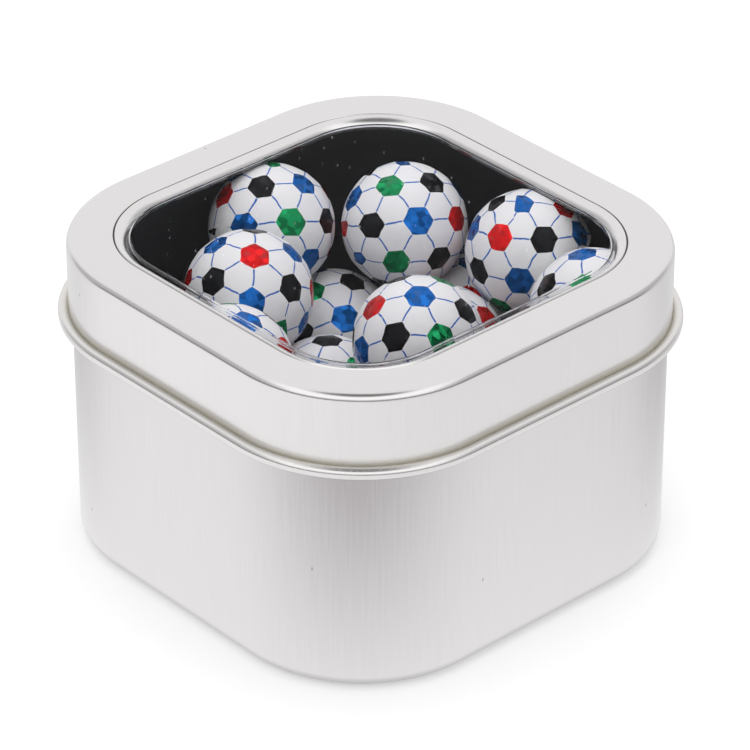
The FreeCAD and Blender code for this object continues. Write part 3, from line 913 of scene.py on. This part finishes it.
# From the can's corner centres: the length of the part of (|x|, |y|) past them
beyond = add_node(tree, "ShaderNodeVectorMath", place, operation="ABSOLUTE")
beyond = add_node(tree, "ShaderNodeVectorMath", beyond, (can_inner, can_inner, 1),
                  operation="SUBTRACT")
beyond = add_node(tree, "ShaderNodeVectorMath", beyond, (0, 0, 0), operation="MAXIMUM")
from_corner = add_node(tree, "ShaderNodeVectorMath", beyond, operation="LENGTH")
own_white, left_right, front_back, contact = (
    add_node(tree, "ShaderNodeMapRange", sockets={
        "Value": measure.outputs["Value"], **dict(zip(RANGE_SOCKETS, levels))})
    for measure, levels in ((away, OWN_WHITE), (aside, MIRRORED_ASIDE), (depth, MIRRORED_DEPTH),
                            (from_corner, MIRRORED_CONTACT)))
sheet = add_node(tree, "ShaderNodeBsdfPrincipled", sockets={
    "Base Color": linear("#e8e8e8"), "Roughness": 0.8, "Specular IOR Level": 0.0,
    "Emission Color": (1, 1, 1, 1), "Emission Strength": own_white})
brightness = add_node(tree, "ShaderNodeMath", left_right, front_back, operation="MULTIPLY")
brightness = add_node(tree, "ShaderNodeMath", brightness, contact, operation="MULTIPLY")
mirrored = add_node(tree, "ShaderNodeEmission", (1, 1, 1, 1), brightness)
shown = add_node(tree, "ShaderNodeMixShader", ray.outputs["Is Glossy Ray"], sheet, mirrored)
tree.links.new(shown.outputs[0], output.inputs["Surface"])
floor_mesh.materials.append(paper)
print(floor.name, "of %.0f m" % (2 * FLOOR_HALF), "with", paper.name)

# %% World and lamps
# Each of these is a stretch of a direction's measure, then what the room gives at its start and end
DARK_LOW, LOW_AHEAD = (0.12, 0.42, 0.85, 0.0), (-0.5, 0.1, 0.0, 1.0)
DARK_ABOVE = (0.91, 0.975, 0.0, 0.85)
DARK_SIDE, SIDE_LOW = (0.65, 0.85, 0.0, 0.42), (0.6, 0.85, 1.0, 0.0)
FRONT_GLOW = (0.25, 0.7, 1.0, 1.28)
PLAIN_LIGHT = 0.75
dark_overhead = 0.25 * view_back + np.array([0, 0, 0.75])
dark_overhead /= np.linalg.norm(dark_overhead)

world = bpy.data.worlds.new("studio")
bpy.context.scene.world = world
world.use_nodes = True
tree = world.node_tree
tree.nodes.clear()
ray = add_node(tree, "ShaderNodeLightPath")
heading = add_node(tree, "ShaderNodeTexCoord").outputs["Generated"]
height = add_node(tree, "ShaderNodeSeparateXYZ", heading).outputs["Z"]
front, overhead, across, towards = (
    add_node(tree, "ShaderNodeVectorMath", heading, tuple(way),
             operation="DOT_PRODUCT").outputs["Value"]
    for way in ((*view_back[:2], 0), dark_overhead, view_right, view_back))
to_side = add_node(tree, "ShaderNodeMath", across, operation="ABSOLUTE")
low, ahead, above, side, side_low, front_glow = (
    add_node(tree, "ShaderNodeMapRange", interpolation_type="SMOOTHSTEP", sockets={
        "Value": measure, **dict(zip(RANGE_SOCKETS, levels))})
    for measure, levels in (
        (height, DARK_LOW), (front, LOW_AHEAD), (overhead, DARK_ABOVE),
        (to_side, DARK_SIDE), (height, SIDE_LOW), (towards, FRONT_GLOW)))
dark = add_node(tree, "ShaderNodeMath", low, ahead, operation="MULTIPLY")
dark = add_node(tree, "ShaderNodeMath", dark, above, operation="MAXIMUM")
beside = add_node(tree, "ShaderNodeMath", side, side_low, operation="MULTIPLY")
dark = add_node(tree, "ShaderNodeMath", dark, beside, operation="MAXIMUM")
room = add_node(tree, "ShaderNodeMath", 1.0, dark, operation="SUBTRACT")
room = add_node(tree, "ShaderNodeMath", room, front_glow, operation="MULTIPLY")
plain = add_node(tree, "ShaderNodeMix", data_type="FLOAT", sockets={
    0: ray.outputs["Is Diffuse Ray"], 2: 1.0, 3: PLAIN_LIGHT})
strength = add_node(tree, "ShaderNodeMix", data_type="FLOAT", sockets={
    0: ray.outputs["Is Glossy Ray"], 2: plain, 3: room})
sky = add_node(tree, "ShaderNodeBackground", (1, 1, 1, 1), strength)
add_node(tree, "ShaderNodeOutputWorld", sky)


def add_lamp(name, place, size, watts):
    """A square soft box that faces the tin; the metal doesn't show it."""
    data = bpy.data.lights.new(name, "AREA")
    data.size, data.energy = size, watts
    lamp = bpy.data.objects.new(name, data)
    lamp.location = place
    lamp.rotation_mode = "QUATERNION"
    lamp.rotation_quaternion = Vector(place).to_track_quat("Z", "Y")
    lamp.visible_glossy = False
    bpy.context.scene.collection.objects.link(lamp)


add_lamp("soft_box_above", (-0.1, 0.1, 1.0), 0.7, 2.4)
add_lamp("soft_box_front", (0.35, -0.5, 0.8), 0.6, 1.5)
bpy.context.scene.view_settings.view_transform = "Standard"
print(world.name, "of", len(tree.nodes), "nodes and", len(bpy.data.lights), "lamps")
